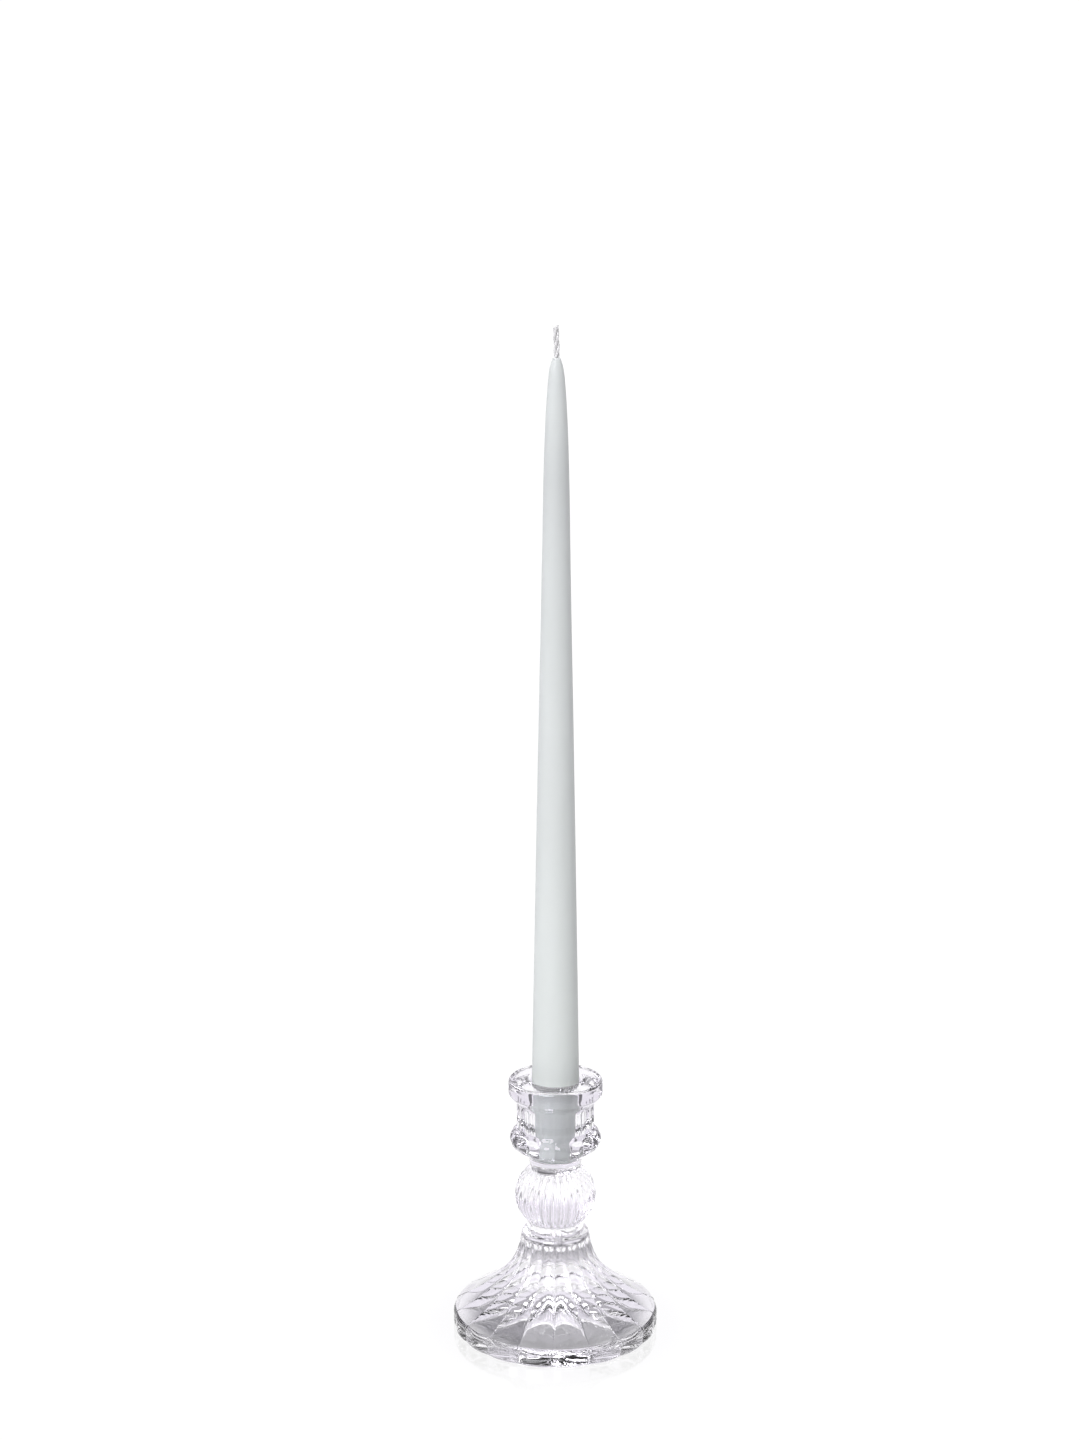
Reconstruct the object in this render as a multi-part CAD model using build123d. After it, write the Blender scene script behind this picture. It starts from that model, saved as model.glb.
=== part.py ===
from build123d import *
from bisect import bisect_right
from math import cos, pi, radians, sin, sqrt
import os

# Pressed-glass candlestick holding a tapered dinner candle. The origin is the centre of the
# foot's underside, +Z runs up the candle, and all sizes are in millimetres. One ridge of the
# fluted foot points along -Y, to the front.

# Foot and flare of the glass
PETALS = 18  # flutes round the foot, the bulge and the cup wall
FOOT_RADIUS = 46.0  # to the outermost of the petals' edges
FOOT_WALL_TOP = 6.0
FOOT_ROUND = 1.4  # rounded lower edge of the foot
FOOT_SHOULDER = (45.5, 7.3)  # radius and height where the wall turns over
# How far a petal's middle is hollowed, as a share of the radius, by height: it bulges
# (below 0) at the foot's edge, is flat above it, and is hollow up the flare.
PETAL_DIPS = [(5.0, -0.03), (12.0, 0.0), (22.0, 0.03), (42.0, 0.05)]
FLARE_TOP = 42.5  # where the flare would stand upright
FLARE_NECK_RADIUS = 15.5
FLARE_REACH = 120.0  # horizontal half-axis of the flare's ellipse
FLARE_DROP = 52.3  # vertical half-axis
FLARE_EDGE_RADIUS = 44.6  # where the flare turns over into the foot's wall
FLARE_SECTIONS = 9
HOLLOW_RADIUS = 42.5  # low blunt cone pressed up into the underside
HOLLOW_HEIGHT = 10.5
HOLLOW_BLUNT = 0.1  # how blunt the cone is at its middle
HOLLOW_STATIONS = (1, 0.6, 0.3, 0.12, 0)  # shares of its radius that its curve passes
GROOVE = 0.02  # depth of the valleys round the bulge and the cup wall, as a share of the radius

# Stem
SHOULDER_TURN = 42.6  # height where the shoulder starts to round over
LOWER_NECK_RADIUS = 12.7
LOWER_NECK_BASE = 46.2
KNOP_HEIGHT = 61.8  # centre of the ribbed ball
KNOP_RADIUS = 18.1
KNOP_HALF_HEIGHT = 16.2
KNOP_FOOT = 50.8  # heights where the turned necks run into the ball
KNOP_HEAD = 74.0
KNOP_RIBS = 30
KNOP_RIB_DEPTH = 0.085  # as a share of the radius
KNOP_SECTIONS = 9
UPPER_NECK_RADIUS = 11.5
UPPER_NECK_HEIGHT = 76.1
CUP_SWELL = (13.5, 81.4)  # radius and height where the upper neck opens towards the cup

# Candle cup
BULGE_RADIUS = 20.4
BULGE_HEIGHT = 88.0
BULGE_HALF_HEIGHT = 4.4
CUP_RADIUS = 17.4
CUP_BASE = 93.6
CUP_TOP = 104.6
RIM_RADIUS = 20.9
RIM_BASE = 109.6
RIM_ROUND = 1.4
GLASS_HEIGHT = 116.0

# Socket, narrowing towards a rounded floor
SOCKET_MOUTH_RADIUS = 11.2
SOCKET_FLOOR_RADIUS = 8.9
SOCKET_FLOOR = 79.6
SOCKET_LIP = 1.2  # rounding of the mouth
SOCKET_FLOOR_ROUND = 1.6

# Candle
CANDLE_BASE = 79.8  # rests just clear of the socket's floor
CANDLE_BASE_RADIUS = 8.5
CANDLE_EDGE = 1.2  # bevel round the base
CANDLE_SHOULDER = 113.0  # where the fitted end becomes the long taper
CANDLE_RADIUS = 10.6
CANDLE_TAPER = [(7.5, 280.0), (6.1, 349.0), (5.1, 396.0)]  # radius and height
CANDLE_NOSE = (3.7, 421.5)  # where the taper has rounded over towards the tip
TIP = (1.55, 432.0)
CORE_SHARE = 0.9  # radius of the pale core against the outside
CORE_TOP = 427.0
WICK_BORE = 1.3
WICK_TOP = 446.0
WICK_PLIES = 3
PLY_RADIUS = 0.54
PLY_OFFSET = 0.68  # from the wick's middle to a ply's middle
WICK_PITCH = 15.0  # height of one full turn of the twist


def ring_points(radius, count, height, start=-90.0):
    """count points evenly round the Z axis, the first one at the start angle."""
    turns = [radians(start + k * 360.0 / count) for k in range(count)]
    return [Vector(radius * cos(t), radius * sin(t), height) for t in turns]


def scalloped_wire(corner_radius, middle_radius, count, height):
    """A closed outline of equal arcs, from corner to corner through the middles."""
    corners = ring_points(corner_radius, count, height)
    middles = ring_points(middle_radius, count, height, -90.0 + 180.0 / count)
    arcs = [ThreePointArc(corners[k], middles[k], corners[(k + 1) % count]) for k in range(count)]
    return Wire(arcs)


def petal_dip(height):
    """The petals' hollowing at a height, on straight lines between the stated ones."""
    heights = [h for h, dip in PETAL_DIPS]
    k = bisect_right(heights, height)
    if k == 0:
        return PETAL_DIPS[0][1]
    if k == len(PETAL_DIPS):
        return PETAL_DIPS[-1][1]
    (low, dip_low), (high, dip_high) = PETAL_DIPS[k - 1], PETAL_DIPS[k]
    return dip_low + (dip_high - dip_low) * (height - low) / (high - low)


def petal_wire(radius, height):
    """The foot's outline at one height; its outermost points lie at the radius."""
    middle = cos(pi / PETALS) - petal_dip(height)
    scale = radius / max(1.0, middle)
    return scalloped_wire(scale, middle * scale, PETALS, height)


def turned(lines):
    """A solid of revolution about Z from a closed outline drawn in the XZ plane."""
    return revolve(make_face(Plane.XZ * (Curve() + lines)), Axis.Z)


def flare_height(radius):
    """Height of the flare's ridge line at a radius, on an arc of an ellipse."""
    along = 1 - (radius - FLARE_NECK_RADIUS) / FLARE_REACH
    return FLARE_TOP - FLARE_DROP * sqrt(1 - along**2)


def flare():
    """The petalled skirt; its sections crowd towards the neck, where the line is steep."""
    steps = [k / (FLARE_SECTIONS - 1) for k in range(FLARE_SECTIONS)]
    spread = FLARE_EDGE_RADIUS - FLARE_NECK_RADIUS
    radii = [FLARE_NECK_RADIUS + spread * (1 - s) ** 2 for s in steps]
    return Solid.make_loft([petal_wire(r, flare_height(r)) for r in radii])


def foot_wall():
    """The foot's upright edge, with a rounded lower edge and a turned-over top."""
    round_middle = FOOT_ROUND * (1 - sin(radians(45)))
    outline = [
        (FOOT_RADIUS - FOOT_ROUND, 0.0),
        (FOOT_RADIUS - round_middle, round_middle),
        (FOOT_RADIUS, FOOT_ROUND),
        (FOOT_RADIUS, FOOT_WALL_TOP),
        FOOT_SHOULDER,
        (FLARE_EDGE_RADIUS, flare_height(FLARE_EDGE_RADIUS)),
    ]
    rings = [petal_wire(r, z) for r, z in outline]
    return [Solid.make_loft([low, high], True) for low, high in zip(rings, rings[1:])]


def hollow_height(radius):
    """Height of the underside's blunt cone at a radius, on a hyperbola."""
    share = radius / HOLLOW_RADIUS
    fall = sqrt(share**2 + HOLLOW_BLUNT**2) - HOLLOW_BLUNT
    return HOLLOW_HEIGHT * (1 - fall / (sqrt(1 + HOLLOW_BLUNT**2) - HOLLOW_BLUNT))


def foot_hollow():
    """The low cone of air under the foot."""
    radii = [HOLLOW_RADIUS * share for share in HOLLOW_STATIONS]
    rim, *inner = [(r, hollow_height(r)) for r in radii]
    slope = (-HOLLOW_RADIUS, HOLLOW_HEIGHT * 1.1)
    cone = Spline(rim, *inner, tangents=[slope, (-1, 0)])
    return turned([cone, Polyline(inner[-1], (0, 0), rim)])


def knop():
    """The ribbed ball: sections of an ellipsoid, each with a ring of rounded ribs."""
    lowest = -sqrt(1 - (LOWER_NECK_RADIUS / KNOP_RADIUS) ** 2)
    highest = sqrt(1 - (UPPER_NECK_RADIUS / KNOP_RADIUS) ** 2)
    rings = []
    for k in range(KNOP_SECTIONS):
        rise = lowest + (highest - lowest) * k / (KNOP_SECTIONS - 1)
        radius = KNOP_RADIUS * sqrt(1 - rise**2)
        height = KNOP_HEIGHT + KNOP_HALF_HEIGHT * rise
        rings.append(scalloped_wire(radius * (1 - KNOP_RIB_DEPTH), radius, KNOP_RIBS, height))
    return Solid.make_loft(rings)


def bulge():
    """The lobed ring round the cup's foot, an ellipse in section."""
    rings = []
    for slope in (-80, -45, 0, 45, 80):
        radius = CUP_RADIUS - 1 + (BULGE_RADIUS - CUP_RADIUS + 1) * cos(radians(slope))
        height = BULGE_HEIGHT + BULGE_HALF_HEIGHT * sin(radians(slope))
        rings.append(scalloped_wire(radius * (1 - GROOVE), radius, PETALS, height))
    return Solid.make_loft(rings)


def cup_wall():
    """The cup's wall, with an upright hollow panel over each petal of the foot."""
    heights = (CUP_BASE - 3, CUP_TOP + 1)
    middle = CUP_RADIUS * (1 - GROOVE)
    return Solid.make_loft([scalloped_wire(CUP_RADIUS, middle, PETALS, z) for z in heights], True)


def stem_and_cup():
    """The smooth turned body, from inside the flare up to the rim."""
    collar = (FLARE_NECK_RADIUS - 0.3, SHOULDER_TURN)
    shoulder_mid = (LOWER_NECK_RADIUS + 1.8, LOWER_NECK_BASE - 1.2)
    neck = (LOWER_NECK_RADIUS, LOWER_NECK_BASE)
    knop_foot = (LOWER_NECK_RADIUS, KNOP_FOOT)
    inside = (UPPER_NECK_RADIUS - 1, KNOP_HEIGHT)
    knop_head = (UPPER_NECK_RADIUS + 0.3, KNOP_HEAD)
    waist = (UPPER_NECK_RADIUS, UPPER_NECK_HEIGHT)
    under_bulge = (CUP_RADIUS - 0.6, BULGE_HEIGHT - BULGE_HALF_HEIGHT)
    inner_wall = (CUP_RADIUS * (1 - GROOVE) - 0.2, CUP_TOP)
    rim_low = (RIM_RADIUS - 0.7, RIM_BASE - 0.7)
    rim_side = (RIM_RADIUS, RIM_BASE + 0.8)
    rim_high = (RIM_RADIUS, GLASS_HEIGHT - RIM_ROUND)
    rim_top = (RIM_RADIUS - RIM_ROUND, GLASS_HEIGHT)
    corner = RIM_ROUND * (1 - sin(radians(45)))
    foot_axis = (0, SHOULDER_TURN - 6)
    lines = [
        Polyline(foot_axis, (collar[0] - 1, foot_axis[1]), collar),
        ThreePointArc(collar, shoulder_mid, neck),
        Polyline(neck, knop_foot, inside, knop_head, waist),
        Spline(waist, CUP_SWELL, under_bulge, tangents=[(0, 1), (1.2, 1)]),
        Line(under_bulge, inner_wall),
        Spline(inner_wall, rim_low, tangents=[(0, 1), (1, 0.9)]),
        ThreePointArc(rim_low, (RIM_RADIUS - 0.15, RIM_BASE), rim_side),
        Line(rim_side, rim_high),
        ThreePointArc(rim_high, (RIM_RADIUS - corner, GLASS_HEIGHT - corner), rim_top),
        Polyline(rim_top, (0, GLASS_HEIGHT), foot_axis),
    ]
    return turned(lines)


def socket():
    """The tapered hole for the candle, with a rounded lip and floor."""
    lip_out = (SOCKET_MOUTH_RADIUS + SOCKET_LIP, GLASS_HEIGHT)
    lip_in = (SOCKET_MOUTH_RADIUS, GLASS_HEIGHT - SOCKET_LIP)
    wall_foot = (SOCKET_FLOOR_RADIUS, SOCKET_FLOOR + SOCKET_FLOOR_ROUND)
    floor_edge = (SOCKET_FLOOR_RADIUS - SOCKET_FLOOR_ROUND, SOCKET_FLOOR)
    lip_depth = SOCKET_LIP * (1 - sin(radians(45)))
    lip_mid = (SOCKET_MOUTH_RADIUS + lip_depth, GLASS_HEIGHT - lip_depth)
    floor_depth = SOCKET_FLOOR_ROUND * (1 - sin(radians(45)))
    floor_mid = (SOCKET_FLOOR_RADIUS - floor_depth, SOCKET_FLOOR + floor_depth)
    above = GLASS_HEIGHT + 1
    lines = [
        ThreePointArc(lip_out, lip_mid, lip_in),
        Line(lip_in, wall_foot),
        ThreePointArc(wall_foot, floor_mid, floor_edge),
        Polyline(floor_edge, (0, SOCKET_FLOOR), (0, above), (lip_out[0], above), lip_out),
    ]
    return turned(lines)


def glass():
    """The candlestick: one pressed piece of clear glass."""
    body = stem_and_cup() + [flare(), *foot_wall(), knop(), bulge(), cup_wall()]
    return body - foot_hollow() - socket()


def candle_profile(share, base, top):
    """The candle's outline from its base to the flat under the wick, at a share of its radius."""
    edge = CANDLE_EDGE * share
    start = (CANDLE_BASE_RADIUS * share - edge, base)
    side = (CANDLE_BASE_RADIUS * share, base + edge)
    shoulder = (CANDLE_RADIUS * share, CANDLE_SHOULDER)
    taper = [(r * share, z) for r, z in CANDLE_TAPER]
    nose = (CANDLE_NOSE[0] * share, CANDLE_NOSE[1] - (TIP[1] - top))
    tip = (max(TIP[0] * share, WICK_BORE + 0.15), top)
    return [
        Line(start, side),
        Line(side, shoulder),
        Spline(shoulder, *taper, nose, tip, tangents=[(-1.9, 100), (-0.45, 1)]),
        Polyline(tip, (0, top), (0, base), start),
    ]


def wick_ply(index):
    """One ply: straight inside the wax, then twisted with the others above it."""
    turn = index * 360.0 / WICK_PLIES
    bare = WICK_TOP - TIP[1]
    foot = Location((PLY_OFFSET, 0, CANDLE_BASE))
    straight = foot * extrude(Circle(PLY_RADIUS), TIP[1] - CANDLE_BASE)
    helix = Pos(0, 0, TIP[1]) * Helix(WICK_PITCH, bare, PLY_OFFSET)
    joint = Pos(PLY_OFFSET, 0, TIP[1]) * Sphere(PLY_RADIUS)
    section = Plane(helix @ 0, z_dir=helix % 0) * Circle(PLY_RADIUS)
    twisted = sweep(section, path=helix, is_frenet=True)
    return Rot(0, 0, turn) * (straight + joint + twisted)


def build():
    """Every piece of the assembly by its node's name."""
    outside = turned(candle_profile(1.0, CANDLE_BASE, TIP[1]))
    core_blank = turned(candle_profile(CORE_SHARE, CANDLE_BASE, CORE_TOP))
    bore = Pos(0, 0, CANDLE_BASE) * extrude(Circle(WICK_BORE), TIP[1] - CANDLE_BASE)
    nodes = {
        "glass_candlestick": glass(),
        "candle_core": core_blank - bore,
        "candle_overdip": outside - core_blank - bore,
    }
    for k in range(WICK_PLIES):
        nodes[f"wick_ply_{k + 1}"] = wick_ply(k)
    return nodes


os.makedirs("parts", exist_ok=True)
for name, shape in build().items():
    export_step(shape, f"parts/{name}.step")
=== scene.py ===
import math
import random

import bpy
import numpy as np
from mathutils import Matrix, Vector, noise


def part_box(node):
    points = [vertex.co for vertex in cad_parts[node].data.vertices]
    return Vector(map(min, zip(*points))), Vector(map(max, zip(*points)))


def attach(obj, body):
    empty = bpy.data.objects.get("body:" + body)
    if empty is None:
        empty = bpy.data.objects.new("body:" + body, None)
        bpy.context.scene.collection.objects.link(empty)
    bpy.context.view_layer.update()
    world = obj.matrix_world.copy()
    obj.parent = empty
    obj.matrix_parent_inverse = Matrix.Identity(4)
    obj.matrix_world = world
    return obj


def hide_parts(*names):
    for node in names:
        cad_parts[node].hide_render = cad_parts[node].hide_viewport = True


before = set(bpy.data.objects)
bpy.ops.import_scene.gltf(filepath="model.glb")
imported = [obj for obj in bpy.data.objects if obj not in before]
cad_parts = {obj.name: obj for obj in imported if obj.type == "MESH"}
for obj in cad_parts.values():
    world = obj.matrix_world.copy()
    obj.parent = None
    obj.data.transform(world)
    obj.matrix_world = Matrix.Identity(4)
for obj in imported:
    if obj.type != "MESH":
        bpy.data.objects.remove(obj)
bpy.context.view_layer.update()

# Looks for the pressed-glass candlestick: the glass with its petals, ribs and panels, the
# dipped wax, the plied wick, and a pale studio round them. The object's sizes are in
# millimetres until MM turns them into metres, and the frame's box gives the outer ones. The
# studio's and the camera's are in metres.

MM = 0.001

GLASS_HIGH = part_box("glass_candlestick")[1]
WAX_LOW, WAX_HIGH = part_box("candle_overdip")
CORE_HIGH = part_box("candle_core")[1]
WICK_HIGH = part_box("wick_ply_1")[1]

GLASS_HEIGHT = GLASS_HIGH.z / MM
FOOT_RADIUS = GLASS_HIGH.x / MM
CANDLE_BASE = WAX_LOW.z / MM
CANDLE_TOP = WAX_HIGH.z / MM
CANDLE_RADIUS = WAX_HIGH.x / MM
CORE_TOP = CORE_HIGH.z / MM
WICK_TOP = WICK_HIGH.z / MM

# Glass
PETALS = 18
KNOP_RIBS = 30
TURN_STEPS = 1080  # points round the glass, a multiple of both counts
WALL_TOP = 6.0  # of the foot's upright edge
EDGE_ROUND = 1.4  # at the foot's lower edge
FLARE_TOP = 42.5
FLARE_NECK = 15.5
FLARE_REACH = 120.0
FLARE_DROP = 52.3
FLARE_EDGE = 44.6
# The flutes' depth by height, as a share of the radius: a petal bulges a little at the edge,
# is flat just above it and is hollow higher up.
DIP_HEIGHTS = (5.0, 12.0, 22.0, 42.0)
DIP_SHARES = (-0.03, 0.0, 0.03, 0.05)
RIDGE_SOFTNESS = 0.06
RIDGE_BEAD = 0.22  # height of the small bead along each ridge
RIDGE_BEAD_WIDTH = 0.6
FLARE_FADE = (FLARE_TOP - 3.5, FLARE_TOP + 1.2)  # heights between which the petals die out

KNOP_RADIUS = 18.1
KNOP_HEIGHT = 61.8
KNOP_HALF_HEIGHT = 16.2
RIB_DEPTH = 0.085  # as a share of the radius
RIB_SOFTNESS = 0.35
RIB_BAND = (49.6, 52.5, 71.8, 74.6)  # heights where the ribs begin, are full, fade and end
LOWER_NECK = 12.7
LOWER_NECK_TOP = 49.9
UPPER_NECK = 11.5

CUP_RADIUS = 17.4
RIM_RADIUS = 20.9
RIM_ROUND = 1.5
LOBE_DEPTH = 0.03  # of the lobes round the bulge, as a share of the radius
LOBE_SOFTNESS = 0.1
LOBE_BAND = (83.0, 85.5, 90.5, 93.0)
PANEL_BASE = 94.2
PANEL_TOP = 103.4
PANEL_END = 107.0  # above every panel
PANEL_ARCH = 2.0  # rise of a panel's round top
PANEL_SAG = 0.8  # drop of its round foot
PANEL_EDGE = 0.3
PANEL_HOLLOW = 0.35
PANEL_STEP = 0.05
PANEL_SOFTNESS = 0.08

# Curves of the outline, each with four control points (radius, height)
SHOULDER = (
    (FLARE_NECK - 0.25, 43.1),
    (FLARE_NECK - 0.5, 44.7),
    (LOWER_NECK + 0.9, 45.4),
    (LOWER_NECK, 46.6),
)
# From the upper neck to the cup's wall, and from there to the rim, with their point counts
CUP_CURVES = (
    ((UPPER_NECK, 75.0), (UPPER_NECK - 0.2, 78.0), (UPPER_NECK + 0.8, 80.9), (14.2, 82.2), 18),
    ((14.2, 82.2), (16.4, 83.4), (17.6, 83.9), (18.6, 84.7), 10),
    ((18.6, 84.7), (20.6, 86.3), (20.8, 89.4), (19.4, 91.0), 18),
    ((19.4, 91.0), (18.6, 91.9), (CUP_RADIUS + 0.2, 92.4), (CUP_RADIUS, 94.0), 12),
)
RIM_CURVES = (
    ((CUP_RADIUS, 104.4), (CUP_RADIUS + 0.1, 106.6), (19.0, 107.0), (20.0, 108.2), 14),
    ((20.0, 108.2), (20.7, 109.0), (RIM_RADIUS, 109.4), (RIM_RADIUS, 110.4), 8),
)

# Socket and underside
MOUTH_RADIUS = 11.2
MOUTH_ROUND = 1.2
FLOOR_RADIUS = 8.9
FLOOR_ROUND = 1.6
SOCKET_FLOOR = 79.6
HOLLOW_RADIUS = 42.5
HOLLOW_HEIGHT = 10.5
HOLLOW_ROUND = 0.1  # how blunt the cone under the foot is at its middle
HOLLOW_STEPS = 60

# Candle
CANDLE_BASE_RADIUS = 8.5
CANDLE_EDGE = 1.2  # bevel round the base
CANDLE_SHOULDER = 113.0
CANDLE_TAPER = [(7.5, 280.0), (6.1, 349.0), (5.1, 396.0)]
CANDLE_NOSE = (3.7, 421.5)
TIP_RADIUS = 1.55
CORE_SHARE = 0.9
CORE_GAP = 0.02  # between the dipped skin and the core
WICK_BORE = 1.35
WAX_STEPS = 96
WAX_RIPPLE = 0.07

# Wick
WICK_PLIES = 3
PLY_RADIUS = 0.6
PLY_OFFSET = 0.72
PLY_SHEATH = 0.54  # a ply's radius inside the wax
PLY_SEAT = 0.68  # a ply's offset inside the wax
PLY_LOOSENING = 2.5  # height over which it leaves the wax and spreads
PLY_END_DROP = 0.9  # of the longest ply's cut end below the wick's top
PLY_END_STEP = 0.5  # by which each further ply is shorter
PLY_END_TAPER = (1.0, 0.86, 0.5)  # of its last three rings
WICK_PITCH = 15.0
PLY_STEPS = 40
YARNS = 5  # strands seen round one ply
YARN_DEPTH = 0.16  # of the grooves between them, as a share of the ply's radius
YARN_TWIST = 1.1  # in radians for each millimetre up
WICK_HAIRS = 16
HAIR_SIDES = 4
HAIR_STEPS = 6
HAIR_THICKNESS = 0.05
# A fibre at the cut end: how far below the top it starts, its length and its lift. A side
# fibre: its length and its lift. The lift is the share of the fibre that points upwards.
END_HAIR_DROP = (1.5, 2.6)
END_HAIR_LENGTH = (1.2, 1.6)
END_HAIR_LIFT = 0.85
SIDE_HAIR_LENGTH = (0.5, 0.9)
SIDE_HAIR_LIFT = (0.2, 0.8)

# Wax and cotton
SKIN_COLOUR = (0.61, 0.655, 0.61)
SKIN_TIP = (0.57, 0.61, 0.575)
SKIN_PAINTED_LIGHT_IN_CUP = (0.70, 0.76, 0.71)  # painted light: paler, for the light lost in the glass round it
PAINTED_GLOW_IN_CUP = 0.015  # painted glow: faint emission on the wax inside the cup, for light the glass round it holds back
CORE_COLOUR = (0.86, 0.86, 0.83)
# Painted light: the core's end in the cup is painted paler, for the light lost in the glass round
# it.
CORE_PAINTED_LIGHT_IN_CUP = (0.92, 0.94, 0.91)
COTTON_DARK = (0.52, 0.53, 0.50)
COTTON_PALE = (0.76, 0.77, 0.75)

# Glass surface
GLASS_COLOUR = (0.965, 0.955, 0.98, 1)  # clear, with a lavender cast
GLASS_INDEX = 1.52
GLASS_HAZE = 0.012  # roughness where the fire polish is poorest
GLASS_WAVES = 0.00004  # height of the pressed surface's waves, in metres

# Studio
UPPER_COLOUR = (0.91, 0.885, 0.95, 1)
LOWER_COLOUR = (0.84, 0.81, 0.88, 1)
FLOOR_REACH = 0.2
FLOOR_DROP = 0.00005
FLOOR_COLOUR = (1.06, 1.06, 1.06, 1)
FOOT_SHADE = (0.22, 0.22, 0.23, 1)
# Radii in metres: where the shade under the foot starts to fade and has ended, and the same
# for the floor's faint mirror beside the foot.
FOOT_SHADE_START = 0.028
FOOT_SHADE_END = 0.043
MIRROR_START = 0.047
MIRROR_END = 0.085
MIRROR_SHARE = 0.22

# Camera
SENSOR_WIDTH = 36
LENS = 56.25
CAMERA_AZIMUTH = 1.2  # degrees, to the right of the front ridge
CAMERA_PITCH = 11.05  # degrees, downwards
CAMERA_PLACE = (-0.0069, 0.9505, 0.4636)  # aside, away and up, before the azimuth turns it


def smoothstep(low, high, value):
    """0 below low, 1 above high, and a smooth S between."""
    t = np.clip((value - low) / (high - low), 0.0, 1.0)
    return t * t * (3 - 2 * t)


def arc(centre, radius, start, end, count):
    """Points on a circle's arc in the (radius, height) plane; angles in degrees."""
    turns = np.radians(np.linspace(start, end, count))
    return [(centre[0] + radius * math.cos(t), centre[1] + radius * math.sin(t)) for t in turns]


def span(start, end, count):
    """Evenly spaced points on a straight line, without its last one."""
    a, b = np.array(start), np.array(end)
    return [tuple(a + (b - a) * k / count) for k in range(count)]


def bezier(a, b, c, d, count):
    """Points on a cubic curve from a to d, without the last one."""
    a, b, c, d = map(np.array, (a, b, c, d))
    points = []
    for k in range(count):
        t = k / count
        s = 1 - t
        points.append(tuple(a * s**3 + b * 3 * s * s * t + c * 3 * s * t * t + d * t**3))
    return points


def smooth_curve(points, start, end, count):
    """A curve of even bend through the points, with given directions at its ends."""
    p = np.array(points, float)
    step = np.linalg.norm(np.diff(p, axis=0), axis=1)
    size = len(p)
    left = np.zeros((size, size))
    right = np.zeros((size, 2))
    left[0, 0] = left[-1, -1] = 1
    right[0] = np.array(start) / np.hypot(*start)
    right[-1] = np.array(end) / np.hypot(*end)
    for k in range(1, size - 1):
        before, after = step[k - 1], step[k]
        left[k, k - 1 : k + 2] = (after, 2 * (before + after), before)
        right[k] = 3 * (after * (p[k] - p[k - 1]) / before + before * (p[k + 1] - p[k]) / after)
    slope = np.linalg.solve(left, right)
    out = []
    for k in range(size - 1):
        third = step[k] / 3
        ends = (p[k], p[k] + slope[k] * third, p[k + 1] - slope[k + 1] * third, p[k + 1])
        out += bezier(*ends, count)
    return out + [tuple(p[-1])]


def flare_height(radius):
    """Height of the flare's ridge line at a radius, on an arc of an ellipse."""
    along = 1 - (radius - FLARE_NECK) / FLARE_REACH
    return FLARE_TOP - FLARE_DROP * math.sqrt(1 - along**2)


def outer_profile():
    """The outside from the foot's lower edge to the rim's top: (radius, height) at the ridges."""
    points = arc((FOOT_RADIUS - EDGE_ROUND, EDGE_ROUND), EDGE_ROUND, -90, 0, 14)
    points += span((FOOT_RADIUS, EDGE_ROUND + 0.3), (FOOT_RADIUS, WALL_TOP), 10)
    crest = (FLARE_EDGE, flare_height(FLARE_EDGE))
    wall = (FOOT_RADIUS, WALL_TOP)
    points += bezier(wall, (wall[0], wall[1] + 0.8), (crest[0] + 0.6, crest[1] - 0.4), crest, 14)
    edge, neck = FLARE_EDGE, FLARE_NECK
    for k in range(90):
        radius = neck + (edge - neck) * (1 - k / 90) ** 1.6
        points.append((radius, flare_height(radius)))
    points += span((neck - 0.05, FLARE_TOP), (neck - 0.2, FLARE_TOP + 0.6), 3)
    points += bezier(*SHOULDER, 14)
    points += span(SHOULDER[-1], (LOWER_NECK - 0.05, LOWER_NECK_TOP), 8)
    low = -math.sqrt(1 - (LOWER_NECK / KNOP_RADIUS) ** 2)
    high = math.sqrt(1 - (UPPER_NECK / KNOP_RADIUS) ** 2)
    for turn in np.linspace(math.asin(low), math.asin(high), 60):
        height = KNOP_HEIGHT + KNOP_HALF_HEIGHT * math.sin(turn)
        points.append((KNOP_RADIUS * math.cos(turn), height))
    for *curve, count in CUP_CURVES:
        points += bezier(*curve, count)
    wall_foot, wall_head = CUP_CURVES[-1][3], RIM_CURVES[0][0]
    points += span(wall_foot, wall_head, 26)
    for *curve, count in RIM_CURVES:
        points += bezier(*curve, count)
    points += span(RIM_CURVES[-1][3], (RIM_RADIUS, GLASS_HEIGHT - RIM_ROUND), 8)
    points += arc((RIM_RADIUS - RIM_ROUND, GLASS_HEIGHT - RIM_ROUND), RIM_ROUND, 0, 90, 10)
    return points


def inner_profile():
    """The rim's top, the socket's wall and its floor, down to the axis."""
    lip = MOUTH_ROUND
    points = span((RIM_RADIUS - 2.0, GLASS_HEIGHT), (MOUTH_RADIUS + lip + 0.2, GLASS_HEIGHT), 8)
    points += arc((MOUTH_RADIUS + lip, GLASS_HEIGHT - lip), lip, 90, 180, 9)
    wall_foot = (FLOOR_RADIUS, SOCKET_FLOOR + FLOOR_ROUND)
    points += span((MOUTH_RADIUS, GLASS_HEIGHT - lip - 0.4), wall_foot, 40)
    points += arc((FLOOR_RADIUS - FLOOR_ROUND, wall_foot[1]), FLOOR_ROUND, 0, -90, 9)
    points += span((FLOOR_RADIUS - FLOOR_ROUND - 0.5, SOCKET_FLOOR), (0.6, SOCKET_FLOOR), 8)
    return points


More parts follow.
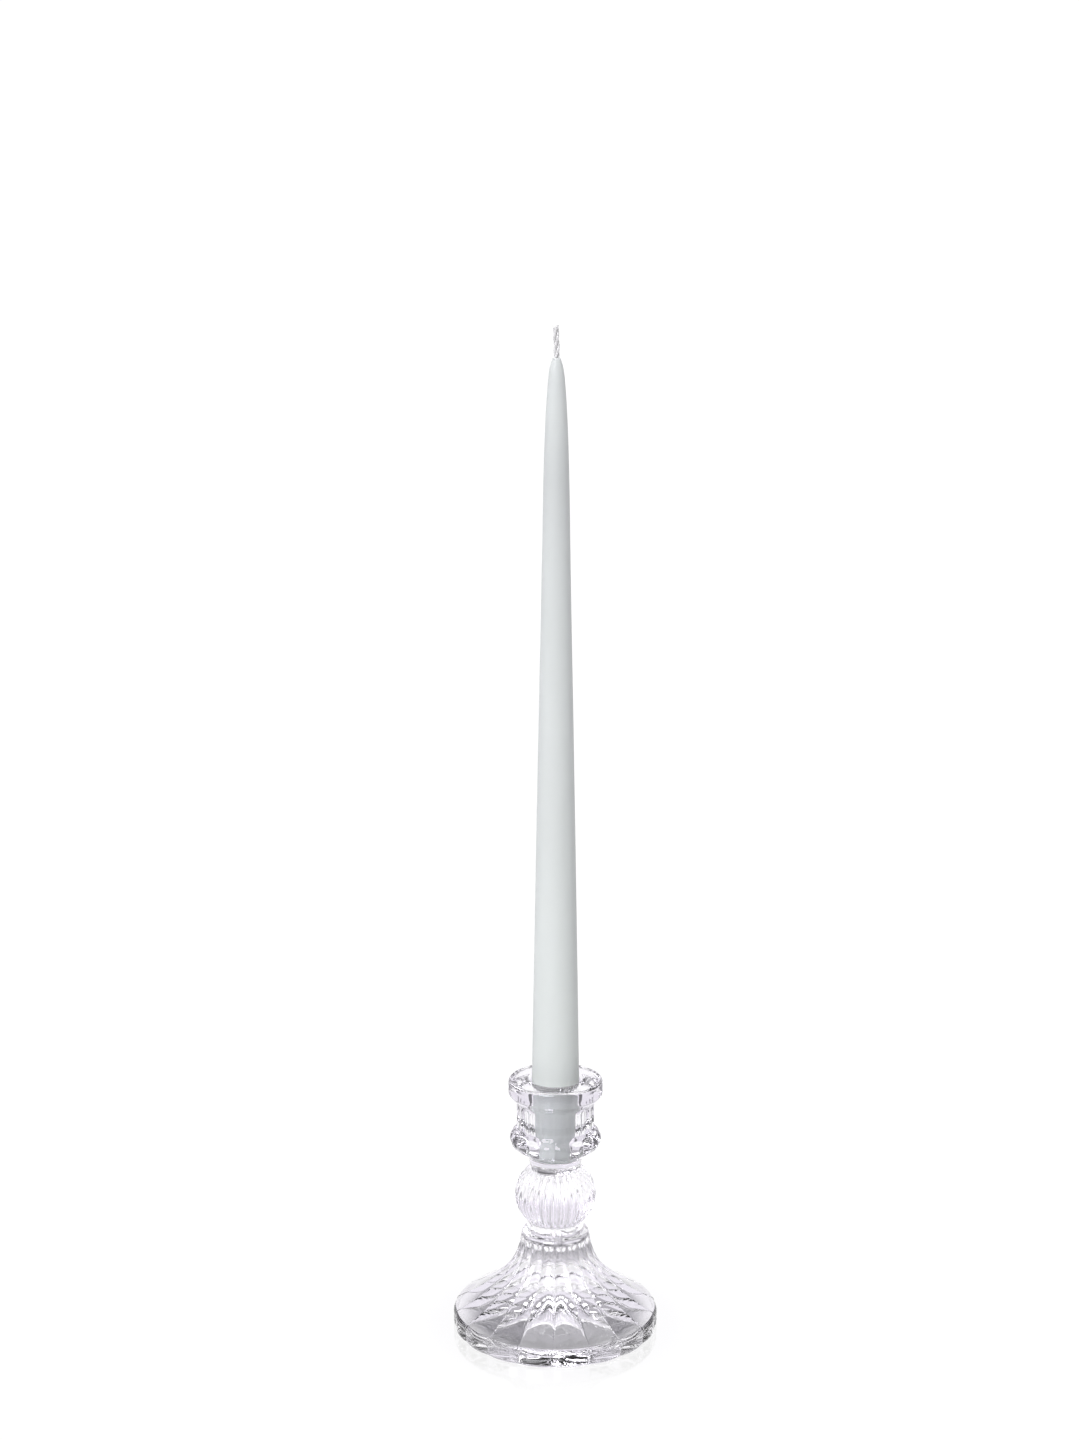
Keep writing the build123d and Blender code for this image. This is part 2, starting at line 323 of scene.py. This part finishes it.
def under_profile():
    """The underside: a low blunt cone pressed up into it, then the ring the foot stands on."""
    points = []
    tip = math.sqrt(1 + HOLLOW_ROUND**2) - HOLLOW_ROUND
    for k in range(1, HOLLOW_STEPS):
        share = k / HOLLOW_STEPS
        fall = (math.sqrt(share**2 + HOLLOW_ROUND**2) - HOLLOW_ROUND) / tip
        points.append((HOLLOW_RADIUS * share, HOLLOW_HEIGHT * (1 - fall)))
    lip = HOLLOW_RADIUS
    points += bezier((lip - 0.3, 0.08), (lip, 0.02), (lip + 0.2, 0.0), (lip + 0.5, 0.0), 4)
    points += span((lip + 0.5, 0.0), ((FOOT_RADIUS - EDGE_ROUND) * 0.98, 0.0), 4)
    return points


def flute(turn, count, softness):
    """Place across one flute, from 0 in its middle to 1 at its edges, softened there."""
    half = math.pi / count
    from_edge = half - np.abs((turn % (2 * half)) - half)
    soft = softness * half
    eased = (np.sqrt(from_edge**2 + soft**2) - soft) / (math.sqrt(half**2 + soft**2) - soft)
    return 1 - eased


def band(height, edges):
    """1 between the two middle heights of four, falling smoothly to 0 at the outer ones."""
    begin, full, fade, end = edges
    return smoothstep(begin, full, height) * (1 - smoothstep(fade, end, height))


def shaped_radius(radius, height, turn):
    """The outside's radius at one height for every turn angle, with its pressed pattern."""
    result = np.full_like(turn, radius)
    petal = flute(turn, PETALS, RIDGE_SOFTNESS)
    half = math.pi / PETALS
    flat = math.cos(half) / np.cos(half * petal)
    dip = np.interp(height, DIP_HEIGHTS, DIP_SHARES)
    petal_shape = (flat - dip * (1 - petal**2)) / max(1.0, math.cos(half) - dip)
    amount = 1 - smoothstep(*FLARE_FADE, height)
    if height < FLARE_TOP + 2:
        result *= 1 + (petal_shape - 1) * amount
        from_ridge = (1 - np.abs(turn % (2 * half) - half) / half) * half * radius
        bead = RIDGE_BEAD * (1 - smoothstep(0.0, RIDGE_BEAD_WIDTH, from_ridge))
        result += bead * amount * smoothstep(WALL_TOP, WALL_TOP + 1.0, height)
    elif RIB_BAND[0] < height < RIB_BAND[3]:
        rib = flute(turn, KNOP_RIBS, RIB_SOFTNESS)
        result *= 1 - RIB_DEPTH * rib**2 * band(height, RIB_BAND)
    elif LOBE_BAND[0] < height < LOBE_BAND[3]:
        lobe = flute(turn, PETALS, LOBE_SOFTNESS)
        result *= 1 - LOBE_DEPTH * lobe**2 * band(height, LOBE_BAND)
    elif LOBE_BAND[3] <= height < PANEL_END:
        panel = flute(turn, PETALS, PANEL_SOFTNESS)
        rise = np.sqrt(np.clip(1 - panel**2, 0, 1))
        below_top = PANEL_TOP + PANEL_ARCH * rise - height
        above_foot = height - (PANEL_BASE - PANEL_SAG * rise)
        amount = smoothstep(-PANEL_EDGE, PANEL_EDGE, below_top)
        amount = amount * smoothstep(-PANEL_EDGE, PANEL_EDGE, above_foot)
        result -= PANEL_HOLLOW * (1 - panel**2) * amount + PANEL_STEP * amount
    return result


def ring_mesh(name, rings, axis_points=None):
    """A closed mesh from rings of points, capped on the axis or joined last ring to first."""
    count = rings.shape[1]
    verts = rings.reshape(-1, 3)
    index = np.arange(len(verts)).reshape(len(rings), count)
    if axis_points is None:
        index = np.vstack([index, index[:1]])
    low, high = index[:-1], index[1:]
    quads = np.stack([low, np.roll(low, -1, 1), np.roll(high, -1, 1), high], -1).reshape(-1, 4)
    fans = []
    if axis_points is not None:
        verts = np.vstack([verts, *axis_points])
        start, end = len(verts) - 2, len(verts) - 1
        for k in range(count):
            fans.append((start, int(index[0][(k + 1) % count]), int(index[0][k])))
            fans.append((end, int(index[-1][k]), int(index[-1][(k + 1) % count])))
    return new_piece(name, verts, quads.tolist() + fans)


def new_piece(name, verts, faces):
    """A smooth-shaded mesh object from points in millimetres."""
    mesh = bpy.data.meshes.new(name)
    mesh.from_pydata((np.asarray(verts) * MM).tolist(), [], faces)
    mesh.validate()
    mesh.update()
    mesh.polygons.foreach_set("use_smooth", [True] * len(mesh.polygons))
    piece = bpy.data.objects.new(name, mesh)
    bpy.context.scene.collection.objects.link(piece)
    return piece


def build_glass():
    """The whole candlestick as one closed skin: underside, outside, rim and socket."""
    turn = np.arange(TURN_STEPS) * 2 * math.pi / TURN_STEPS
    spin = turn - math.pi / 2
    rings = []
    for radius, height in under_profile():
        rings.append((np.full_like(turn, radius), height))
    for radius, height in outer_profile():
        rings.append((shaped_radius(radius, height, turn), height))
    for radius, height in inner_profile():
        rings.append((np.full_like(turn, radius), height))
    grid = np.zeros((len(rings), TURN_STEPS, 3))
    for k, (radius, height) in enumerate(rings):
        grid[k, :, 0] = radius * np.cos(spin)
        grid[k, :, 1] = radius * np.sin(spin)
        grid[k, :, 2] = height
    middles = ((0, 0, HOLLOW_HEIGHT), (0, 0, SOCKET_FLOOR))
    return ring_mesh("pressed_glass_candlestick", grid, middles)


def candle_outline(share, top, tip):
    """The wax from its base to its top at a share of the candle's radius: (radius, height)."""
    base, base_radius = CANDLE_BASE, CANDLE_BASE_RADIUS * share
    edge = CANDLE_EDGE * share
    points = span((base_radius - edge, base), (base_radius, base + edge), 3)
    shoulder = (CANDLE_RADIUS * share, CANDLE_SHOULDER)
    points += span((base_radius, base + edge), shoulder, 16)
    taper = [(radius * share, height) for radius, height in CANDLE_TAPER]
    nose = (CANDLE_NOSE[0] * share, CANDLE_NOSE[1] - (CANDLE_TOP - top))
    points += smooth_curve([shoulder, *taper, nose, (tip, top)], (-1.9, 100), (-0.45, 1), 30)
    return points


def build_wax_skin():
    """The dipped skin: a thin closed shell over the core, a little uneven as dipping leaves it."""
    turn = np.arange(WAX_STEPS) * 2 * math.pi / WAX_STEPS
    outside = candle_outline(1.0, CANDLE_TOP, TIP_RADIUS)
    core = candle_outline(CORE_SHARE, CORE_TOP, WICK_BORE + 0.1)
    tip = [(TIP_RADIUS - 0.12, CANDLE_TOP), (WICK_BORE, CANDLE_TOP - 0.05)]
    bore = [(WICK_BORE, CORE_TOP + CORE_GAP), (core[-1][0] + CORE_GAP, CORE_TOP + CORE_GAP)]
    inside = [(radius + CORE_GAP, height) for radius, height in reversed(core[:-1])]
    rings = []
    for k, (radius, height) in enumerate(outside + tip + bore + inside):
        ring = np.full(WAX_STEPS, radius)
        if k < len(outside):
            calm = float(smoothstep(CANDLE_TOP, CANDLE_TOP - 12, height))
            for step, angle in enumerate(turn):
                spot = (1.4 * math.cos(angle), 1.4 * math.sin(angle), height * 0.035)
                ring[step] -= WAX_RIPPLE * calm * (0.5 + 0.5 * noise.noise(spot))
        level = np.full(WAX_STEPS, height)
        rings.append(np.stack([ring * np.cos(turn), ring * np.sin(turn), level], -1))
    return ring_mesh("dipped_wax_skin", np.array(rings))


def ply_middle(ply, height):
    """A ply's middle and how far it has turned: straight in the wax, twisted above it."""
    bare = max(0.0, height - CANDLE_TOP)
    turn = 2 * math.pi * (ply / WICK_PLIES + bare / WICK_PITCH)
    spread = float(smoothstep(0.0, PLY_LOOSENING, bare))
    offset = PLY_SEAT + (PLY_OFFSET - PLY_SEAT) * spread
    lean = -0.02 * bare + 0.25 * math.sin(bare * 0.45)
    return np.array([offset * math.cos(turn) + lean * 0.5, offset * math.sin(turn), height]), turn


def build_ply(ply):
    """One ply of the wick as a tube of twisted yarns that loosens towards its cut end."""
    end = WICK_TOP - PLY_END_DROP - PLY_END_STEP * ply
    heights = [CANDLE_BASE] + list(np.linspace(CANDLE_TOP - 1, end, PLY_STEPS * 2))
    heights += [end + 0.25, end + 0.4]
    around = np.arange(PLY_STEPS) * 2 * math.pi / PLY_STEPS
    rings = []
    for k, height in enumerate(heights):
        middle, turn = ply_middle(ply, height)
        bare = float(smoothstep(CANDLE_TOP, CANDLE_TOP + PLY_LOOSENING, height))
        size = PLY_SHEATH + (PLY_RADIUS - PLY_SHEATH) * bare
        size *= PLY_END_TAPER[max(0, k - len(heights) + 3)]
        yarn = np.abs(np.sin(YARNS / 2 * (around + YARN_TWIST * height)))
        ring = size * (1 - YARN_DEPTH * bare * (1 - yarn))
        spin = around + turn
        points = np.stack([ring * np.cos(spin), ring * np.sin(spin), np.zeros(PLY_STEPS)], -1)
        rings.append(points + middle)
    caps = (ply_middle(ply, heights[0])[0], ply_middle(ply, heights[-1] + 0.03)[0])
    return ring_mesh(f"wick_yarn_{ply + 1}", np.array(rings), caps)


def hair_points(start, out, across, length, lift):
    """A curved, tapering fibre's rings of points, from its root outwards."""
    up = np.array([0, 0, 1.0])
    points = []
    for step in range(HAIR_STEPS):
        t = step / (HAIR_STEPS - 1)
        way = out * math.sqrt(1 - lift**2) * t + up * lift * (t - 0.2 * t * t)
        thick = HAIR_THICKNESS * (1 - 0.7 * t)
        for side in range(HAIR_SIDES):
            angle = 2 * math.pi * side / HAIR_SIDES
            round_it = across * math.cos(angle) + out * math.sin(angle)
            points.append(start + way * length + thick * round_it)
    return points


def hair_faces(base):
    """The faces of one fibre whose first point has the index base."""
    faces = []
    for step in range(HAIR_STEPS - 1):
        for side in range(HAIR_SIDES):
            a = base + step * HAIR_SIDES + side
            b = base + step * HAIR_SIDES + (side + 1) % HAIR_SIDES
            faces.append((a, b, b + HAIR_SIDES, a + HAIR_SIDES))
    faces.append(tuple(base + side for side in reversed(range(HAIR_SIDES))))
    last = base + (HAIR_STEPS - 1) * HAIR_SIDES
    faces.append(tuple(last + side for side in range(HAIR_SIDES)))
    return faces


def build_hairs():
    """Short cotton fibres at the cut end and along the bare wick."""
    draw = random.Random(7)
    verts, faces = [], []
    for k in range(WICK_HAIRS):
        at_end = k < WICK_HAIRS // 2
        if at_end:
            height = WICK_TOP - draw.uniform(*END_HAIR_DROP)
        else:
            height = draw.uniform(CANDLE_TOP + 2, WICK_TOP - 3)
        middle, turn = ply_middle(k % WICK_PLIES, height)
        heading = turn + draw.uniform(-0.7, 0.7)
        out = np.array([math.cos(heading), math.sin(heading), 0])
        length = draw.uniform(*(END_HAIR_LENGTH if at_end else SIDE_HAIR_LENGTH))
        lift = END_HAIR_LIFT if at_end else draw.uniform(*SIDE_HAIR_LIFT)
        start = middle + out * (0.25 if at_end else PLY_RADIUS * 0.8)
        across = np.cross(out, np.array([0, 0, 1.0]))
        faces += hair_faces(len(verts))
        verts += hair_points(start, out, across, length, lift)
    return new_piece("wick_fibres", verts, faces)


# ---------------------------------------------------------------- materials


def new_material(name):
    """An empty node material: itself, its tree and its output."""
    material = bpy.data.materials.new(name)
    material.use_nodes = True
    tree = material.node_tree
    tree.nodes.clear()
    output = tree.nodes.new("ShaderNodeOutputMaterial")
    return material, tree, output


def math_node(tree, operation, *values):
    """A Math node's result; each value is a number or another node's output."""
    node = tree.nodes.new("ShaderNodeMath")
    node.operation = operation
    for socket, value in zip(node.inputs, values):
        if isinstance(value, (int, float)):
            socket.default_value = value
        else:
            tree.links.new(value, socket)
    return node.outputs[0]


def along(tree, direction, axis):
    """How far a vector goes along an axis."""
    node = tree.nodes.new("ShaderNodeVectorMath")
    node.operation = "DOT_PRODUCT"
    tree.links.new(direction, node.inputs[0])
    node.inputs[1].default_value = axis
    return node.outputs["Value"]


def ramp(tree, value, low, high):
    """0 below low, 1 above high."""
    node = tree.nodes.new("ShaderNodeMapRange")
    node.interpolation_type = "SMOOTHSTEP"
    node.inputs["From Min"].default_value = low
    node.inputs["From Max"].default_value = high
    tree.links.new(value, node.inputs["Value"])
    return node.outputs["Result"]


def glass_material():
    """Clear pressed glass: a faintly wavy surface, fire-polished a little unevenly."""
    material, tree, output = new_material("clear_pressed_glass")
    shader = tree.nodes.new("ShaderNodeBsdfPrincipled")
    shader.inputs["Base Color"].default_value = GLASS_COLOUR
    shader.inputs["Transmission Weight"].default_value = 1.0
    shader.inputs["IOR"].default_value = GLASS_INDEX
    polish = tree.nodes.new("ShaderNodeMapRange")
    polish.inputs["From Min"].default_value = 0.45
    polish.inputs["From Max"].default_value = 0.75
    polish.inputs["To Min"].default_value = 0.0
    polish.inputs["To Max"].default_value = GLASS_HAZE
    tree.links.new(texture_noise(tree, 160.0, 2.0), polish.inputs["Value"])
    tree.links.new(polish.outputs["Result"], shader.inputs["Roughness"])
    waves = texture_noise(tree, 90.0, 1.0)
    tree.links.new(bump(tree, waves, 1.0, GLASS_WAVES), shader.inputs["Normal"])
    tree.links.new(shader.outputs["BSDF"], output.inputs["Surface"])
    return material


def texture_noise(tree, scale, detail, stretch=(1, 1, 1)):
    """Noise fixed to the piece, its scale per metre, stretched along the axes."""
    place = tree.nodes.new("ShaderNodeTexCoord").outputs["Object"]
    mapping = tree.nodes.new("ShaderNodeMapping")
    mapping.inputs["Scale"].default_value = stretch
    tree.links.new(place, mapping.inputs["Vector"])
    node = tree.nodes.new("ShaderNodeTexNoise")
    node.inputs["Scale"].default_value = scale
    node.inputs["Detail"].default_value = detail
    tree.links.new(mapping.outputs["Vector"], node.inputs["Vector"])
    return node.outputs["Fac"]


def mixed(tree, share, low, high):
    """A colour between two others by a share from 0 to 1."""
    node = tree.nodes.new("ShaderNodeMix")
    node.data_type = "RGBA"
    tree.links.new(share, node.inputs["Factor"])
    for socket, colour in (("A", low), ("B", high)):
        if isinstance(colour, tuple):
            node.inputs[socket].default_value = (*colour, 1)
        else:
            tree.links.new(colour, node.inputs[socket])
    return node.outputs["Result"]


def bump(tree, height, strength, distance):
    """A surface normal from a height; the distance is in metres."""
    node = tree.nodes.new("ShaderNodeBump")
    node.inputs["Strength"].default_value = strength
    node.inputs["Distance"].default_value = distance
    tree.links.new(height, node.inputs["Height"])
    return node.outputs["Normal"]


def wax_material(name, colour, tip_colour, painted_light_colour):
    """Candle wax: cloudy colour, a fine grain, its own tip colour, and painted light in the cup.
    """
    material, tree, output = new_material(name)
    shader = tree.nodes.new("ShaderNodeBsdfPrincipled")
    cloud = ramp(tree, texture_noise(tree, 60.0, 3.0, (1, 1, 0.25)), 0.3, 0.7)
    wax = mixed(tree, cloud, colour, tuple(0.96 * c for c in colour))
    split = tree.nodes.new("ShaderNodeSeparateXYZ")
    tree.links.new(tree.nodes.new("ShaderNodeTexCoord").outputs["Object"], split.inputs[0])
    high = split.outputs["Z"]
    tip = ramp(tree, high, (CANDLE_TOP - 22) * MM, (CANDLE_TOP - 2) * MM)
    wax = mixed(tree, tip, wax, tip_colour)
    # Painted light: the wax inside the cup is painted paler, for the light the glass round it
    # keeps off.
    painted_light_in_cup = ramp(tree, high, (GLASS_HEIGHT - 1) * MM, (GLASS_HEIGHT - 8) * MM)
    wax = mixed(tree, painted_light_in_cup, wax, painted_light_colour)
    # Painted glow: the wax inside the cup glows faintly, though it is no lamp.
    shader.inputs["Emission Color"].default_value = (*painted_light_colour, 1)
    glow = math_node(tree, "MULTIPLY", painted_light_in_cup, PAINTED_GLOW_IN_CUP)
    tree.links.new(glow, shader.inputs["Emission Strength"])
    tree.links.new(wax, shader.inputs["Base Color"])
    grain = texture_noise(tree, 2200.0, 2.0)
    rough = tree.nodes.new("ShaderNodeMapRange")
    rough.inputs["To Min"].default_value = 0.42
    rough.inputs["To Max"].default_value = 0.56
    tree.links.new(grain, rough.inputs["Value"])
    tree.links.new(rough.outputs["Result"], shader.inputs["Roughness"])
    tree.links.new(bump(tree, grain, 0.12, 0.00004), shader.inputs["Normal"])
    shader.inputs["Subsurface Weight"].default_value = 0.35
    shader.inputs["Subsurface Radius"].default_value = (1.0, 1.0, 0.95)
    shader.inputs["Subsurface Scale"].default_value = 0.003
    shader.inputs["Specular IOR Level"].default_value = 0.4
    tree.links.new(shader.outputs["BSDF"], output.inputs["Surface"])
    return material


def cotton_material():
    """Waxed cotton yarn: fibres lighter and darker along the ply, matt."""
    material, tree, output = new_material("waxed_cotton")
    shader = tree.nodes.new("ShaderNodeBsdfPrincipled")
    fibre = ramp(tree, texture_noise(tree, 2600.0, 4.0, (1, 1, 0.35)), 0.3, 0.7)
    colour = mixed(tree, fibre, COTTON_DARK, COTTON_PALE)
    tree.links.new(colour, shader.inputs["Base Color"])
    tree.links.new(bump(tree, fibre, 0.25, 0.00008), shader.inputs["Normal"])
    shader.inputs["Roughness"].default_value = 0.75
    tree.links.new(shader.outputs["BSDF"], output.inputs["Surface"])
    return material


def floor_material():
    """A lit white floor, a little mirror-like beside the foot and shaded beneath it."""
    material, tree, output = new_material("pale_floor")
    place = tree.nodes.new("ShaderNodeTexCoord").outputs["Object"]
    length = tree.nodes.new("ShaderNodeVectorMath")
    length.operation = "LENGTH"
    tree.links.new(place, length.inputs[0])
    away = length.outputs["Value"]
    beneath = ramp(tree, away, FOOT_SHADE_END, FOOT_SHADE_START)
    shade = tree.nodes.new("ShaderNodeMix")
    shade.data_type = "RGBA"
    shade.inputs["A"].default_value = FLOOR_COLOUR
    shade.inputs["B"].default_value = FOOT_SHADE
    tree.links.new(beneath, shade.inputs["Factor"])
    glow = tree.nodes.new("ShaderNodeEmission")
    tree.links.new(shade.outputs["Result"], glow.inputs["Color"])
    mirror = tree.nodes.new("ShaderNodeBsdfGlossy")
    mirror.inputs["Roughness"].default_value = 0.04
    share = math_node(tree, "MULTIPLY", ramp(tree, away, MIRROR_END, MIRROR_START), MIRROR_SHARE)
    mix = tree.nodes.new("ShaderNodeMixShader")
    tree.links.new(share, mix.inputs[0])
    tree.links.new(glow.outputs[0], mix.inputs[1])
    tree.links.new(mirror.outputs[0], mix.inputs[2])
    tree.links.new(mix.outputs[0], output.inputs["Surface"])
    return material


def use_material(piece, material):
    """Gives a piece its only material."""
    piece.data.materials.clear()
    piece.data.materials.append(material)


glass = build_glass()
use_material(glass, glass_material())
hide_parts("glass_candlestick")
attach(glass, "candlestick")

skin = build_wax_skin()
use_material(skin, wax_material("dipped_wax", SKIN_COLOUR, SKIN_TIP, SKIN_PAINTED_LIGHT_IN_CUP))
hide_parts("candle_overdip")
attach(skin, "candle")

core_wax = wax_material("core_wax", CORE_COLOUR, CORE_COLOUR, CORE_PAINTED_LIGHT_IN_CUP)
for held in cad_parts["candle_core"].material_slots:
    held.material = core_wax

cotton = cotton_material()
for k in range(WICK_PLIES):
    ply = build_ply(k)
    use_material(ply, cotton)
    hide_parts(f"wick_ply_{k + 1}")
    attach(ply, "candle")
hairs = build_hairs()
use_material(hairs, cotton)
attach(hairs, "candle")


# ---------------------------------------------------------------- studio


def add_floor():
    """A square of lit floor, a hair below the foot."""
    mesh = bpy.data.meshes.new("studio_floor")
    sides = ((-1, -1), (1, -1), (1, 1), (-1, 1))
    corners = [(x * FLOOR_REACH, y * FLOOR_REACH, 0) for x, y in sides]
    mesh.from_pydata(corners, [], [(0, 1, 2, 3)])
    floor = bpy.data.objects.new("studio_floor", mesh)
    floor.location.z = -FLOOR_DROP
    bpy.context.scene.collection.objects.link(floor)
    use_material(floor, floor_material())


def add_area(name, place, target, size, power):
    """A rectangular softbox aimed at a point."""
    data = bpy.data.lights.new(name, "AREA")
    data.shape = "RECTANGLE"
    data.size, data.size_y = size
    data.energy = power
    light = bpy.data.objects.new(name, data)
    light.location = place
    direction = Vector(target) - Vector(place)
    light.rotation_euler = direction.to_track_quat("-Z", "Y").to_euler()
    bpy.context.scene.collection.objects.link(light)


# Panels of the studio as the glass sees it: azimuth (0 behind the object, 90 to the right),
# elevation, half-width and half-height in degrees, softness of the edge, brightness.
PANELS = [
    (0, 60, 80, 24, 1.0, 0.5),
    (180, 25, 34, 30, 3.0, 0.22),
    (132, 10, 20, 22, 3.0, 0.1),
    (228, 10, 20, 22, 3.0, 0.1),
    (75, 20, 9, 35, 2.0, 0.15),
    (-75, 20, 9, 35, 2.0, 0.15),
    (204, 32, 16, 16, 2.0, 10.5),
]


def add_world():
    """A pale studio: plain white to the camera, with soft grey panels for the glass to bend."""
    world = bpy.data.worlds.new("studio")
    world.use_nodes = True
    tree = world.node_tree
    tree.nodes.clear()
    direction = tree.nodes.new("ShaderNodeTexCoord").outputs["Generated"]
    upward = ramp(tree, along(tree, direction, (0, 0, 1)), -0.03, 0.03)
    shade = mixed(tree, upward, LOWER_COLOUR[:3], UPPER_COLOUR[:3])
    for azimuth, elevation, half_width, half_height, soft, bright in PANELS:
        a, e = math.radians(azimuth), math.radians(elevation)
        facing = Vector((math.sin(a) * math.cos(e), math.cos(a) * math.cos(e), math.sin(e)))
        side = Vector((math.cos(a), -math.sin(a), 0))
        up = side.cross(facing)
        forward = along(tree, direction, facing)
        masks = [ramp(tree, forward, 0.0, 0.01)]
        for axis, half in ((side, half_width), (up, half_height)):
            offset = math_node(tree, "ABSOLUTE", along(tree, direction, axis))
            angle = math_node(tree, "ARCTAN2", offset, forward)
            inside = math_node(tree, "SUBTRACT", math.radians(half), angle)
            masks.append(ramp(tree, inside, -math.radians(soft) / 2, math.radians(soft) / 2))
        inside_both = math_node(tree, "MULTIPLY", masks[1], masks[2])
        mask = math_node(tree, "MULTIPLY", masks[0], inside_both)
        mix = tree.nodes.new("ShaderNodeMix")
        mix.data_type = "RGBA"
        tree.links.new(mask, mix.inputs["Factor"])
        tree.links.new(shade, mix.inputs["A"])
        mix.inputs["B"].default_value = tuple(bright * c for c in UPPER_COLOUR[:3]) + (1,)
        shade = mix.outputs["Result"]
    seen = tree.nodes.new("ShaderNodeBackground")
    tree.links.new(shade, seen.inputs["Color"])
    white = tree.nodes.new("ShaderNodeBackground")
    white.inputs["Color"].default_value = (1, 1, 1, 1)
    white.inputs["Strength"].default_value = 1.05
    choose = tree.nodes.new("ShaderNodeMixShader")
    path = tree.nodes.new("ShaderNodeLightPath")
    output = tree.nodes.new("ShaderNodeOutputWorld")
    tree.links.new(path.outputs["Is Camera Ray"], choose.inputs[0])
    tree.links.new(seen.outputs[0], choose.inputs[1])
    tree.links.new(white.outputs[0], choose.inputs[2])
    tree.links.new(choose.outputs[0], output.inputs["Surface"])
    bpy.context.scene.world = world


def add_camera():
    """Three-quarter view from above the rim, a little to the right of the front ridge."""
    data = bpy.data.cameras.new("camera")
    data.sensor_width = SENSOR_WIDTH
    data.lens = LENS
    camera = bpy.data.objects.new("camera", data)
    azimuth = math.radians(CAMERA_AZIMUTH)
    aside, distance, height = CAMERA_PLACE
    camera.location = (
        aside * math.cos(azimuth) + distance * math.sin(azimuth),
        aside * math.sin(azimuth) - distance * math.cos(azimuth),
        height,
    )
    camera.rotation_euler = (math.radians(90 - CAMERA_PITCH), 0, azimuth)
    bpy.context.scene.collection.objects.link(camera)
    bpy.context.scene.camera = camera


add_floor()
add_world()
add_area("top", (0.2, 0.3, 2.0), (0, 0, 0.1), (1.5, 1.5), 18)
add_camera()
bpy.context.scene.view_settings.view_transform = "Standard"
